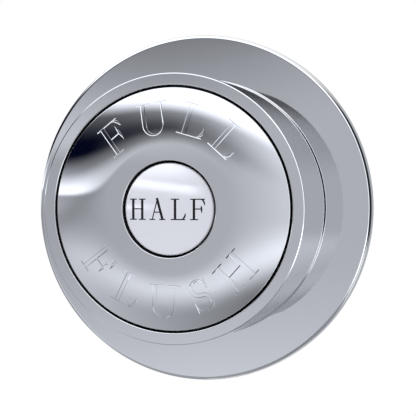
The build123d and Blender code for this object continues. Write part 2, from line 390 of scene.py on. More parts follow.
# corners (radius, height, roundness), anticlockwise, become runs of straights and fillets:
# each run is (start, end, normal at start, normal at end); step is the degrees of a fillet's facet
def profile(corners, closed=True, step=12):
    count = len(corners)
    stops = []
    for i, (r, h, rounding) in enumerate(corners):
        here = Vector((r, h))
        isEnd = not closed and i in (0, count - 1)
        if rounding <= 0 or isEnd:
            stops.append([(here, None)])
            continue
        back = Vector(corners[i - 1][:2]) - here
        ahead = Vector(corners[(i + 1) % count][:2]) - here
        backWay, aheadWay = back.normalized(), ahead.normalized()
        half = backWay.angle(aheadWay) / 2
        reach = min(rounding / math.tan(half), filletShare * back.length, filletShare * ahead.length)
        rounding = reach * math.tan(half)
        middle = here + (backWay + aheadWay).normalized() * (rounding / math.sin(half))
        bulge = 1 if back.x * ahead.y - back.y * ahead.x < 0 else -1  # outside or inside corner
        first = (here + backWay * reach) - middle
        last = (here + aheadWay * reach) - middle
        sweep = math.atan2(first.x * last.y - first.y * last.x, first.dot(last))
        cuts = max(2, math.ceil(abs(math.degrees(sweep)) / step))
        arc = []
        for k in range(cuts + 1):
            turn = sweep * k / cuts
            spoke = Vector((
                first.x * math.cos(turn) - first.y * math.sin(turn),
                first.x * math.sin(turn) + first.y * math.cos(turn),
            ))
            arc.append((middle + spoke, spoke.normalized() * bulge))
        stops.append(arc)
    runs = []
    for i, arc in enumerate(stops):
        for (a, normalA), (b, normalB) in zip(arc, arc[1:]):
            runs.append((a, b, normalA, normalB))
        if i == count - 1 and not closed:
            break
        a, b = arc[-1][0], stops[(i + 1) % count][0][0]
        if (b - a).length > tiny:
            way = (b - a).normalized()
            normal = Vector((way.y, -way.x))
            runs.append((a, b, normal, normal))
    return runs


# a body of revolution with true normals; returns points, faces, a normal for each face corner and
# a mark for each face, 1 where shadedAt says that the run takes the piece's second finish, the painted shade
# of inside faces
def lathe(runs, turns, centre=(0, 0), shadedAt=None):
    points, faces, normals, marks = [], [], [], []
    rows = {}

    def row(place):
        key = (round(place.x, 6), round(place.y, 6))
        isTip = place.x < tiny
        if key not in rows:
            rows[key] = len(points)
            if isTip:
                points.append(onAxis(0, 0, place.y, centre))
            else:
                points.extend(onAxis(place.x, math.tau * j / turns, place.y, centre) for j in range(turns))
        return rows[key], isTip

    for a, b, normalA, normalB in runs:
        (rowA, tipA), (rowB, tipB) = row(a), row(b)
        marks += [1 if shadedAt and shadedAt((a + b) / 2) else 0] * turns
        for j in range(turns):
            k = (j + 1) % turns
            angleJ, angleK = math.tau * j / turns, math.tau * (j + 1) / turns
            corners = []
            if tipA:
                corners.append((rowA, normalA, (angleJ + angleK) / 2))
            else:
                corners.append((rowA + j, normalA, angleJ))
            if tipB:
                corners.append((rowB, normalB, (angleJ + angleK) / 2))
            else:
                corners += [(rowB + j, normalB, angleJ), (rowB + k, normalB, angleK)]
            if not tipA:
                corners.append((rowA + k, normalA, angleK))
            faces.append([corner[0] for corner in corners])
            normals += [turnNormal(corner[1], corner[2]) for corner in corners]
    return points, faces, normals, marks


# rows of (radius, height) that may change with the angle, joined into one skin
def skin(rows, turns, centre=(0, 0), capped=False):
    points, faces = [], []
    for rowAt in rows:
        for j in range(turns):
            angle = math.tau * j / turns
            r, h = rowAt(angle)
            points.append(onAxis(r, angle, h, centre))
    for i in range(len(rows) - 1):
        for j in range(turns):
            k = (j + 1) % turns
            faces.append([i * turns + j, (i + 1) * turns + j, (i + 1) * turns + k, i * turns + k])
    if capped:
        faces.append(list(range(turns)))
        faces.append([(len(rows) - 1) * turns + j for j in reversed(range(turns))])
    return points, faces


# puts parts of one piece together and welds what meets; a part is (points, faces), with the normals
# of its face corners and the marks of its faces where it has them
def weld(*parts):
    points, faces, normals, marks, found = [], [], [], [], {}
    for part in parts:
        where = []
        for point in part[0]:
            key = tuple(round(c * weldGrid) for c in point)
            if key not in found:
                found[key] = len(points)
                points.append(point)
            where.append(found[key])
        start = 0
        for n, face in enumerate(part[1]):
            kept = [k for k, i in enumerate(face) if where[i] != where[face[k - 1]]]
            corners = [where[face[k]] for k in kept]
            if len(set(corners)) == len(corners) > 2:
                faces.append(corners)
                marks.append(part[3][n] if len(part) > 3 else 0)
                if len(part) > 2:
                    normals += [part[2][start + k] for k in kept]
            start += len(face)
    return points, faces, normals, marks


# shape is (points, faces) or what lathe and weld return; crease in degrees is for shapes without normals
def makePiece(name, shape, node, body, slot, extra=(), crease=32):
    mesh = bpy.data.meshes.new(name)
    mesh.from_pydata(shape[0], [], shape[1])
    if mesh.validate():
        print("mended:", name)
    for material in (finishes[slot], *extra):
        mesh.materials.append(material)
    if extra:
        mesh.polygons.foreach_set("material_index", shape[3])
    mesh.shade_smooth()
    if len(shape) > 2 and shape[2]:
        mesh.normals_split_custom_set(shape[2])
    else:
        mesh.set_sharp_from_angle(angle=math.radians(crease))
    mesh.update()
    piece = bpy.data.objects.new(name, mesh)
    scene.collection.objects.link(piece)
    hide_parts(node)
    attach(piece, body)
    print("piece:", name, len(shape[1]), "faces")
    return piece


# Lettering: strokes on a unit letter, x from 0 to 1 across, y from foot to cap.
# A bow has a centre, two radii, a start and an end in degrees and a count of steps
def bow(cx, cy, rx, ry, start, end, count):
    turns = [math.radians(start + (end - start) * k / count) for k in range(count + 1)]
    return [(cx + rx * math.cos(t), cy + ry * math.sin(t)) for t in turns]


# widths of a stroke from its start to its end
stem = ("thick",)
hair = ("thin",)
beak = ("thin", "middle", "thin")
bowl = ("thick", "middle", "thin", "thin")
spine = ("thin", "middle", "thick", "thick", "middle", "thin")

letterStrokes = {
    "F": [
        (stem, [(0.25, 0), (0.25, 1)]),
        (hair, [(0.02, 0), (0.50, 0)]),
        (hair, [(0.02, 1), (0.96, 1)]),
        (beak, bow(0.70, 0.74, 0.27, 0.25, 70, 0, 8)),
        (hair, [(0.25, 0.52), (0.76, 0.52)]),
        (beak, [(0.75, 0.67), (0.77, 0.52), (0.78, 0.37)]),
    ],
    "U": [
        (stem, [(0.19, 0.30), (0.19, 1)]),
        (hair, [(0.84, 0.30), (0.84, 1)]),
        (bowl, bow(0.515, 0.30, 0.325, 0.32, 180, 360, 16)),
        (hair, [(0.0, 1), (0.42, 1)]),
        (hair, [(0.62, 1), (1.0, 1)]),
    ],
    "L": [
        (stem, [(0.29, 0), (0.29, 1)]),
        (hair, [(0.04, 1), (0.54, 1)]),
        (hair, [(0.03, 0), (0.95, 0)]),
        (beak, bow(0.70, 0.29, 0.28, 0.28, -72, 0, 8)),
    ],
    "S": [
        (spine, bow(0.50, 0.755, 0.33, 0.245, 28, 270, 16)
         + bow(0.50, 0.255, 0.36, 0.255, 90, -152, 16)[1:]),
        (hair, [(0.82, 1.0), (0.82, 0.70)]),
        (hair, [(0.13, 0.0), (0.13, 0.32)]),
    ],
    "H": [
        (stem, [(0.19, 0), (0.19, 1)]),
        (stem, [(0.81, 0), (0.81, 1)]),
        (hair, [(0.19, 0.52), (0.81, 0.52)]),
        (hair, [(0.0, 0), (0.39, 0)]),
        (hair, [(0.61, 0), (1.0, 0)]),
        (hair, [(0.0, 1), (0.39, 1)]),
        (hair, [(0.61, 1), (1.0, 1)]),
    ],
    "A": [
        (hair, [(0.15, 0), (0.50, 1.03)]),
        (stem, [(0.47, 1.03), (0.84, 0)]),
        (hair, [(0.27, 0.36), (0.69, 0.36)]),
        (hair, [(0.0, 0), (0.30, 0)]),
        (hair, [(0.66, 0), (1.0, 0)]),
    ],
}

letterMesh = {
    "step": 0.5,  # longest edge along a stroke, mm
    "clear": 0.18,  # the face's own points keep this far off the strokes, mm
    "margin": 0.4,  # how far round a stroke a point is tested against it, mm
    "slope": 0.02,  # a face whose corners differ by more of the depth is a wall of the cut
    "filled": 1e-4,  # a face this far inside a stroke belongs to the letter, mm
    "join": 1e-5,  # closer points are one, mm
    "area": 1e-14,  # smaller faces are left out, square metres
}
farOff = -9  # mm, outside every stroke


# a letter's strokes in mm on the face: foot is the middle of its foot line, up its own up
def setLetter(letter, foot, up, width, capHeight, widths):
    right = Vector((up.y, -up.x))
    placed = []
    for sizes, dots in letterStrokes[letter]:
        halves = []
        for k in range(len(dots)):
            along = k / (len(dots) - 1) * (len(sizes) - 1)
            low = min(int(along), len(sizes) - 2) if len(sizes) > 1 else 0
            lowWidth, highWidth = widths[sizes[low]], widths[sizes[min(low + 1, len(sizes) - 1)]]
            halves.append((lowWidth + (highWidth - lowWidth) * (along - low)) / 2)
        edge = widths["thin"] / 2
        rise = capHeight - 2 * edge
        spots = [foot + right * ((x - 0.5) * width) + up * (edge + y * rise) for x, y in dots]
        placed.append({"spots": spots, "halves": halves, "straight": len(dots) == 2, "end": edge})
    return placed


# how far a spot lies inside a stroke, in mm (outside is below 0)
def insideStroke(stroke, spot):
    spots, halves = stroke["spots"], stroke["halves"]
    if stroke["straight"]:
        way = spots[1] - spots[0]
        length = way.length
        way = way / length
        off = spot - (spots[0] + spots[1]) / 2
        fromEnd = length / 2 + stroke["end"] - abs(off.dot(way))
        return min(fromEnd, halves[0] - abs(off.x * way.y - off.y * way.x))
    best = farOff
    for a, b, halfA, halfB in zip(spots, spots[1:], halves, halves[1:]):
        way = b - a
        t = max(0, min(1, (spot - a).dot(way) / way.length_squared))
        best = max(best, halfA + (halfB - halfA) * t - (spot - a - way * t).length)
    return best


# outlines of a stroke, in from its edge by the given amounts
def outlines(stroke, insets):
    spots, halves = stroke["spots"], stroke["halves"]
    lines = []
    for inset in insets:
        left, right = [], []
        for k, (spot, half) in enumerate(zip(spots, halves)):
            before, after = spots[max(k - 1, 0)], spots[min(k + 1, len(spots) - 1)]
            way = (after - before).normalized()
            side = Vector((-way.y, way.x)) * max(half - inset, 0)
            if stroke["straight"]:
                spot = spot + way * ((stroke["end"] - inset) * (1 if k else -1))
            left.append(spot + side)
            right.append(spot - side)
        isLine = max(halves) <= inset + tiny
        loop = left if isLine else left + right[::-1] + left[:1]
        fine = [loop[0]]
        for a, b in zip(loop, loop[1:]):
            cuts = max(1, math.ceil((b - a).length / letterMesh["step"]))
            fine += [a + (b - a) * (c / cuts) for c in range(1, cuts + 1)]
        lines.append(fine)
    return lines


# a face that is flat as far as a radius and then falls in one arc to the rim, with a rounded edge
def domedFace(flat, radius, top, rim, rounding, cuts):
    run, fall = radius - flat, top - rim
    dome = (run ** 2 + fall ** 2) / (2 * fall)  # the arc leaves the flat smoothly
    low = top - dome

    def heightAt(r):
        return low + math.sqrt(dome ** 2 - max(0, r - flat) ** 2)

    def normalAt(r):
        lean = max(0, r - flat) / dome
        return lean, math.sqrt(1 - lean ** 2)

    # the rounding touches the dome and the upright side
    edgeR = radius - rounding
    edgeH = low + math.sqrt((dome - rounding) ** 2 - (edgeR - flat) ** 2)
    centre = Vector((edgeR, edgeH))
    touch = (centre - Vector((flat, low))).normalized()
    start = math.atan2(touch.y, touch.x)
    edgeRuns = []
    for k in range(cuts):
        turns = start * (1 - (k + 1) / cuts), start * (1 - k / cuts)
        spokes = [Vector((math.cos(t), math.sin(t))) for t in turns]
        edgeRuns.append((*[centre + n * rounding for n in spokes], *spokes))
    return {
        "outer": edgeR + rounding * touch.x, "edgeHeight": edgeH, "edgeRuns": edgeRuns,
        "heightAt": heightAt, "normalAt": normalAt,
    }


# a domed face with letters cut into it: the letters' edges, rings of points, then one triangulation
def letteredFace(face, inner, turns, spacing, strokes, cut, m=letterMesh):
    outer = face["outer"]
    dots, edges = [], []

    def line(spots, closed=False):
        first = len(dots)
        dots.extend(spots)
        edges.extend((first + k, first + k + 1) for k in range(len(spots) - 1))
        if closed:
            edges.append((first + len(spots) - 1, first))

    for radius in (outer, inner):
        if radius > 0:
            line([onFace(radius, math.tau * j / turns) for j in range(turns)], closed=True)
    boxes = []
    for stroke in strokes:
        xs, ys = [spot.x for spot in stroke["spots"]], [spot.y for spot in stroke["spots"]]
        wide = max(stroke["halves"]) + m["margin"]
        boxes.append((min(xs) - wide, max(xs) + wide, min(ys) - wide, max(ys) + wide))
        for outline in outlines(stroke, (0, cut["wall"])):
            line(outline)

    def insideLetters(spot):
        best = farOff
        for stroke, box in zip(strokes, boxes):
            if box[0] < spot.x < box[1] and box[2] < spot.y < box[3]:
                best = max(best, insideStroke(stroke, spot))
        return best

    rings = max(2, round((outer - inner) / spacing))
    for i in range(0 if inner == 0 else 1, rings):
        radius = inner + (outer - inner) * i / rings
        around = max(1, min(turns, round(math.tau * radius / spacing)))
        for j in range(around):
            spot = onFace(radius, math.tau * (j + 0.5 * (i % 2)) / around)
            if insideLetters(spot) < -m["clear"]:
                dots.append(spot)
    spots, _, tris, *_ = delaunay_2d_cdt(dots, edges, [], 0, m["join"])
    depths = [max(0, min(insideLetters(spot), cut["wall"])) / cut["wall"] for spot in spots]
    points = []
    for spot, depth in zip(spots, depths):
        height = face["heightAt"](spot.length) - cut["depth"] * depth
        points.append((spot.x * mm, -height * mm, spot.y * mm))
    faces, normals, letters = [], [], []
    for tri in tris:
        middle = sum((spots[i] for i in tri), Vector((0, 0))) / 3
        if not inner < middle.length < outer:
            continue
        a, b, c = (Vector(points[i]) for i in tri)
        flat = (b - a).cross(c - a)
        if flat.length < m["area"]:
            continue
        levels = [depths[i] for i in tri]
        faces.append(list(tri))
        letters.append(1 if insideLetters(middle) > m["filled"] else 0)
        if max(levels) - min(levels) > m["slope"]:
            normals += [tuple(flat.normalized())] * 3
            continue
        for i in tri:
            across, out = face["normalAt"](spots[i].length)
            length = max(spots[i].length, tiny)
            normals.append((across * spots[i].x / length, -out, across * spots[i].y / length))
    return points, faces, normals, letters


# Bezel: flat wall rose and plain collar, one chromed turning
bezelShape = {
    "roseThickness": 3.0, "roseEdge": 0.85, "backRound": 0.25, "recessRadius": 33.2, "recessDepth": 2.0,
    "collarRadius": 28.0, "collarBore": 26.55, "boreSlack": 0.01, "rootRound": 0.3, "innerRound": 0.1,
    "rimWidth": 2.5, "rimDepth": 3.0, "rimBevel": (0.2, 0.093), "rimRound": 0.08, "lipRound": 0.24,
    "filletStep": 9, "turns": 288,
}


def makeBezel(s=bezelShape):
    size = nodeSize("bezel")
    rose, top, face = size["radius"], size["top"], s["roseThickness"]
    collar, bore, recess = s["collarRadius"], s["collarBore"], s["recessRadius"]
    lip, shoulder = collar - s["rimWidth"], top - s["rimDepth"]
    bevelIn, bevelDown = s["rimBevel"]
    corners = [
        (recess, 0, s["innerRound"]), (rose, 0, s["backRound"]), (rose, face, s["roseEdge"]),
        (collar, face, s["rootRound"]), (collar, top - bevelDown, s["rimRound"]),
        (collar - bevelIn, top, s["rimRound"]), (lip, top, s["lipRound"]), (lip, shoulder, s["innerRound"]),
        (bore, shoulder, 0), (bore, s["recessDepth"], s["innerRound"]), (recess, s["recessDepth"], 0),
    ]

    # faces inside the collar, under the lip's rounding, take the painted shade
    def below(place):  # inside the collar, under the lip's rounding
        return place.x < bore + s["boreSlack"] and place.y < top - s["lipRound"]

    shape = lathe(profile(corners, step=s["filletStep"]), s["turns"], shadedAt=below)
    makePiece("bezel_chromed", shape, "bezel", "root", "polished_chrome", extra=(recessShade,))


makeBezel()

# Full flush ring: flat round the centre, then one arc to the edge; its words are cut in shallow.
# Each letter is given as (letter, degrees round from the top, width)
ringShape = {
    "bore": 9.98, "boreRound": 0.34, "flatRadius": 13.3, "rimHeight": 24.5, "edgeRound": 0.3, "edgeCuts": 8,
    "skirtBore": 23.25, "skirtLength": 13.0, "skirtRound": 0.3, "edgeWall": 1.2, "troughRound": 0.5,
    "sleeveRadius": 11.78, "sleeveBottom": 13.5, "sleeveRound": 0.3, "turns": 240, "grid": 0.75,
    "bossRadius": 3.2, "bossHole": 1.55, "bossCircle": 17.515, "bossAngles": (0, 120, 240),
    "bossRound": 0.2, "bossSink": 0.2, "bossTurns": 32,
    "capHeight": 6.65, "innerLine": 15.5, "cut": {"wall": 0.12, "depth": 0.04},
    "widths": {"thick": 0.94, "middle": 0.58, "thin": 0.24},
    "upper": [("F", -38.5, 5.2), ("U", -10.7, 6.2), ("L", 16.0, 5.8), ("L", 41.3, 5.5)],
    "lower": [
        ("F", -126.0, 5.2), ("L", -151.5, 5.4), ("U", -176.7, 6.5), ("S", 158.5, 5.0), ("H", 132.0, 6.9),
    ],
}


def makeFullRing(s=ringShape):
    size = nodeSize("full_flush_ring")
    radius, top, rim = size["radius"], size["top"], s["rimHeight"]
    face = domedFace(s["flatRadius"], radius, top, rim, s["edgeRound"], s["edgeCuts"])
    edge = face["edgeHeight"]
    # both words read upright: the lower one stands on the outer line
    words = ((s["upper"], s["innerLine"], 1), (s["lower"], s["innerLine"] + s["capHeight"], -1))
    strokes = []
    for word, footRadius, way in words:
        for letter, angle, width in word:
            out = onFace(1, math.radians(angle))
            strokes += setLetter(letter, out * footRadius, out * way, width, s["capHeight"], s["widths"])
    inner = s["bore"] + s["boreRound"]
    front = letteredFace(face, inner, s["turns"], s["grid"], strokes, s["cut"])

    skirt, trough, sleeve = rim - s["skirtLength"], rim - s["edgeWall"], s["sleeveBottom"]
    sides = profile([
        (inner, top, 0), (s["bore"], top, s["boreRound"]), (s["bore"], sleeve, s["sleeveRound"]),
        (s["sleeveRadius"], sleeve, s["sleeveRound"]), (s["sleeveRadius"], trough, s["troughRound"]),
        (s["skirtBore"], trough, s["troughRound"]), (s["skirtBore"], skirt, s["skirtRound"]),
        (radius, skirt, s["skirtRound"]), (radius, edge, 0),
    ], closed=False)
    # the ring's side below its rounded edge takes the painted shade
    side = lathe(sides + face["edgeRuns"], s["turns"], shadedAt=lambda place: place.y < edge)
    bossTop = trough + s["bossSink"]  # the screw bosses end inside the ring's wall
    bossWall = profile([
        (s["bossHole"], bossTop, 0), (s["bossHole"], sleeve, s["bossRound"]),
        (s["bossRadius"], sleeve, s["bossRound"]), (s["bossRadius"], bossTop, 0),
    ])
    bosses = []
    for angle in s["bossAngles"]:
        turn = math.radians(angle)
        centre = (s["bossCircle"] * math.sin(turn), s["bossCircle"] * math.cos(turn))
        bosses.append(lathe(bossWall, s["bossTurns"], centre))
    shape = weld(front[:3], side, *bosses)  # the ring's letters stay bare chrome
    makePiece(
        "full_ring_lettered", shape, "full_flush_ring", "full_button", "polished_chrome", extra=(recessShade,),
    )


makeFullRing()

# Half flush button: white glazed cap, its word filled with black.
# Each letter is given as (letter, middle, width)
halfShape = {
    "edgeHeight": 25.85, "edgeRound": 0.4, "edgeCuts": 8, "inset": 0.16, "footRound": 0.3,
    "socketRadius": 5.0, "socketDepth": 2.5, "socketRound": 0.3, "mouthRound": 0.2,
    "turns": 144, "grid": 0.5,
    "capHeight": 4.38, "foot": -2.22, "cut": {"wall": 0.05, "depth": 0.03},
    "widths": {"thick": 0.54, "middle": 0.38, "thin": 0.235},
    "word": [("H", -6.67, 3.18), ("A", -2.38, 3.2), ("L", 2.05, 3.13), ("F", 6.14, 3.06)],
}


def makeHalfCap(s=halfShape):
    size = nodeSize("half_flush_button")
    radius, bottom = size["radius"] - s["inset"], size["bottom"]
    face = domedFace(0, radius, size["top"], s["edgeHeight"], s["edgeRound"], s["edgeCuts"])
    strokes = []
    for letter, middle, width in s["word"]:
        foot = Vector((middle, s["foot"]))
        strokes += setLetter(letter, foot, Vector((0, 1)), width, s["capHeight"], s["widths"])
    front = letteredFace(face, 0, s["turns"], s["grid"], strokes, s["cut"])
    socket = bottom + s["socketDepth"]
    sides = profile([
        (0, socket, 0), (s["socketRadius"], socket, s["socketRound"]),
        (s["socketRadius"], bottom, s["mouthRound"]), (radius, bottom, s["footRound"]),
        (radius, face["edgeHeight"], 0),
    ], closed=False)
    shape = weld(front, lathe(sides + face["edgeRuns"], s["turns"]))
    makePiece(
        "half_cap_lettered", shape, "half_flush_button", "half_button", "white_glaze", extra=(letterEnamel,),
    )


makeHalfCap()


# Threads: the radius at an angle and height, with grooves that run out at both ends
def threadRadius(radius, angle, height, s, bottom, top):
    wave = 0.5 + 0.5 * math.cos(math.tau * (height / s["pitch"] + s["phase"]) + angle)
    fade = max(0, min(1, (top - height) / s["runOut"], (height - bottom) / s["runOut"]))
    return radius - s["depth"] * wave * fade


def threadHeights(start, end, s):
    count = max(1, round(abs(end - start) / (s["pitch"] / s["perPitch"])))
    return [start + (end - start) * k / count for k in range(count + 1)]


# Guide housing: the CAD moulding, thread and all, shaded smooth but for its edges
housingShape = {"crease": 28}


def makeHousing(s=housingShape):
    moulding = frame["nodes"]["guide_housing"].data
    points = [tuple(vertex.co) for vertex in moulding.vertices]
    faces = [list(polygon.vertices) for polygon in moulding.polygons]
    shape = weld((points, faces))
    makePiece("guide_housing_threaded", shape, "guide_housing", "root", "black_nylon", crease=s["crease"])


makeHousing()


def hexRadius(flats, angle):
    return flats / 2 / math.cos((angle + math.pi / 6) % (math.pi / 3) - math.pi / 6)


# a six-sided nut with chamfered corners and a threaded bore, from a nut's dictionary
def nutShape(s, top, bottom, centre=(0, 0)):
    face = s["flats"] / 2 * s["faceShare"]
    slope = math.tan(math.radians(s["chamfer"]))
    lead, thread = s["lead"], s["thread"]
    mouth, throat = s["bore"] + lead, s["bore"] + s["leadGap"]

    def corner(angle, level, side):
        r = hexRadius(s["flats"], angle)
        return r, level - side * max(0, r - face) * slope

    rows = [
        lambda a: (throat, bottom + lead),
        lambda a: (mouth, bottom),
        lambda a: (face, bottom),
        lambda a: corner(a, bottom, -1),
        lambda a: corner(a, top, 1),
        lambda a: (face, top),
        lambda a: (mouth, top),
        lambda a: (throat, top - lead),
    ]
    for height in threadHeights(top - lead, bottom + lead, thread):
        rows.append(lambda a, h=height: (threadRadius(s["bore"], a, h, thread, bottom, top), h))
    return weld(skin(rows + rows[:1], s["turns"], centre))


# Backnut under the wall, moulded, with a coarse thread that matches the tail
backnutShape = {
    "flats": 52.0, "bore": 21.0, "faceShare": 0.985, "chamfer": 30, "lead": 0.5, "leadGap": 0.02,
    "thread": {"pitch": 2.309, "phase": 0.178, "depth": 1.1, "runOut": 0.3, "perPitch": 12}, "turns": 120,
}


def makeBacknut(s=backnutShape):
    size = nodeSize("backnut")
    shape = nutShape(s, size["top"], size["bottom"])
    makePiece("backnut_threaded", shape, "backnut", "root", "natural_acetal")


makeBacknut()

# Locknuts on the two push rods
locknutShape = {
    "flats": 7.0, "bore": 2.05, "faceShare": 0.97, "chamfer": 30, "lead": 0.3, "leadGap": 0.02,
    "thread": {"pitch": 0.7, "phase": 0, "depth": 0.38, "runOut": 0.2, "perPitch": 8}, "turns": 48,
}


def makeLocknut(node, body, s=locknutShape):
    size = nodeSize(node)
    shape = nutShape(s, size["top"], size["bottom"], size["centre"])
    makePiece(node + "_hex", shape, node, body, "turned_brass")


makeLocknut("full_rod_locknut", "full_button")
makeLocknut("half_rod_locknut", "half_button")

# Push rods: plain where they slide, threaded on the stretches that are given by their heights
rodShape = {
    "thread": {"pitch": 0.7, "phase": 0, "depth": 0.40, "runOut": 0.9, "perPitch": 8},
    "full_push_rod": [(-1.5, 5.8), (-69.6, -50.0)],
    "half_push_rod": [(-69.6, -34.6)],
    "endBevel": 0.4, "turns": 32, "crease": 50,
}


def makeRod(node, body, s=rodShape):
    size = nodeSize(node)
    r, top, bottom, bevel = size["radius"], size["top"], size["bottom"], s["endBevel"]
    rows = [(bottom, lambda a: (r - bevel, bottom)), (bottom + bevel, lambda a: (r, bottom + bevel))]
    rows += [(top - bevel, lambda a: (r, top - bevel)), (top, lambda a: (r - bevel, top))]
    for span in s[node]:
        for height in threadHeights(*span, s["thread"]):
            rows.append((height, lambda a, h=height, p=span: (threadRadius(r, a, h, s["thread"], *p), h)))
    rows.sort(key=lambda entry: entry[0])
    shape = weld(skin([rowAt for _, rowAt in rows], s["turns"], size["centre"], capped=True))
    makePiece(node + "_threaded", shape, node, body, "stainless_steel", crease=s["crease"])


makeRod("full_push_rod", "full_button")
makeRod("half_push_rod", "half_button")

# Push pads: moulded caps screwed onto the rods, with finger grooves round the side
padShape = {
    "bore": 2.05, "boreRound": 0.3, "cover": 4.0, "nose": 1.7, "shoulder": 0.5, "turns": 64,
    "grooves": (3.0, 4.4), "grooveDepth": 0.25, "grooveHalf": 0.3, "grooveRound": 0.12,
}


def makePad(node, body, s=padShape):
    size = nodeSize(node)
    r, top, bottom = size["radius"], size["top"], size["bottom"]
    half, soft = s["grooveHalf"], s["grooveRound"]
    seat = bottom + s["cover"]
    corners = [(0, bottom, 0), (r, bottom, s["nose"])]
    for drop in reversed(s["grooves"]):
        level = top - drop
        corners += [(r, level - half, soft), (r - s["grooveDepth"], level, soft), (r, level + half, soft)]
    corners += [(r, top, s["shoulder"]), (s["bore"], top, s["boreRound"]), (s["bore"], seat, 0), (0, seat, 0)]
    shape = lathe(profile(corners, closed=False), s["turns"], size["centre"])
    makePiece(node + "_moulded", shape, node, body, "natural_acetal")


makePad("full_push_pad", "full_button")
makePad("half_push_pad", "half_button")

# Rubber rings: the rose's gasket and the backnut's washer
rubberShape = {
    "rose_gasket": {"bore": 24.05, "round": 0.3},
    "backnut_washer": {"bore": 21.15, "round": 0.55},
    "turns": 144,
}


def makeRubber(node, s=rubberShape):
    size = nodeSize(node)
    r, top, bottom = size["radius"], size["top"], size["bottom"]
    bore, soft = s[node]["bore"], s[node]["round"]
    corners = [(bore, bottom, soft), (r, bottom, soft), (r, top, soft), (bore, top, soft)]
    makePiece(node + "_rounded", lathe(profile(corners), s["turns"]), node, "root", "grey_rubber")


makeRubber("rose_gasket")
makeRubber("backnut_washer")

# Return springs: round wire with closed ends; the share each would keep when its button goes in, and a little
# more, is worked out but not applied
springShape = {
    "full_return_spring": {"wire": 1.2, "turns": 6, "joint": "full_press"},
    "half_return_spring": {"wire": 1.0, "turns": 5, "joint": "half_press"},
    "perTurn": 36, "around": 14, "play": 0.12, "crease": 60,
}


def makeSpring(node, s=springShape):
    size, own = nodeSize(node), s[node]
    wire, turns, around = own["wire"], own["turns"], s["around"]
    length = size["top"] - size["bottom"]
    radius = size["radius"] - wire / 2
    openPitch = (length - wire - 2 * wire) / (turns - 2)
    points, faces = [], []
    count = turns * s["perTurn"]
    for k in range(count + 1):
        along = k / s["perTurn"]
        climb = wire * min(along, 1)  # the first turn is closed, and so is the last
        climb += openPitch * max(0, min(along, turns - 1) - 1)
        climb += wire * max(0, along - turns + 1)
        height = size["bottom"] + wire / 2 + climb
        for m in range(around):
            turn = math.tau * m / around
            out, up = wire / 2 * math.cos(turn), wire / 2 * math.sin(turn)
            points.append(onAxis(radius + out, math.tau * along, height + up))
    for k in range(count):
        for m in range(around):
            n = (m + 1) % around
            faces.append([k * around + m, k * around + n, (k + 1) * around + n, (k + 1) * around + m])
    faces.append(list(reversed(range(around))))
    faces.append([count * around + m for m in range(around)])
    spring = makePiece(node + "_wire", (points, faces), node, "root", "spring_steel", crease=s["crease"])
    joint = next(j for j in frame["record"]["behaviour"]["joints"] if j["name"] == own["joint"])
    travel = joint["range_m"][1] / mm + s["play"]
    keep = 1 - travel / length
    -size["bottom"] * mm
    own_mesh(spring)


makeSpring("full_return_spring")
makeSpring("half_return_spring")

# CAD pieces keep their shape and only take a finish, also those that a piece above replaces
for subpart in frame["record"]["subparts"]:
    materials = frame["nodes"][subpart["node"]].data.materials
    materials.clear()
    materials.append(finishes[subpart["material_slot"]])
print("CAD pieces finished")

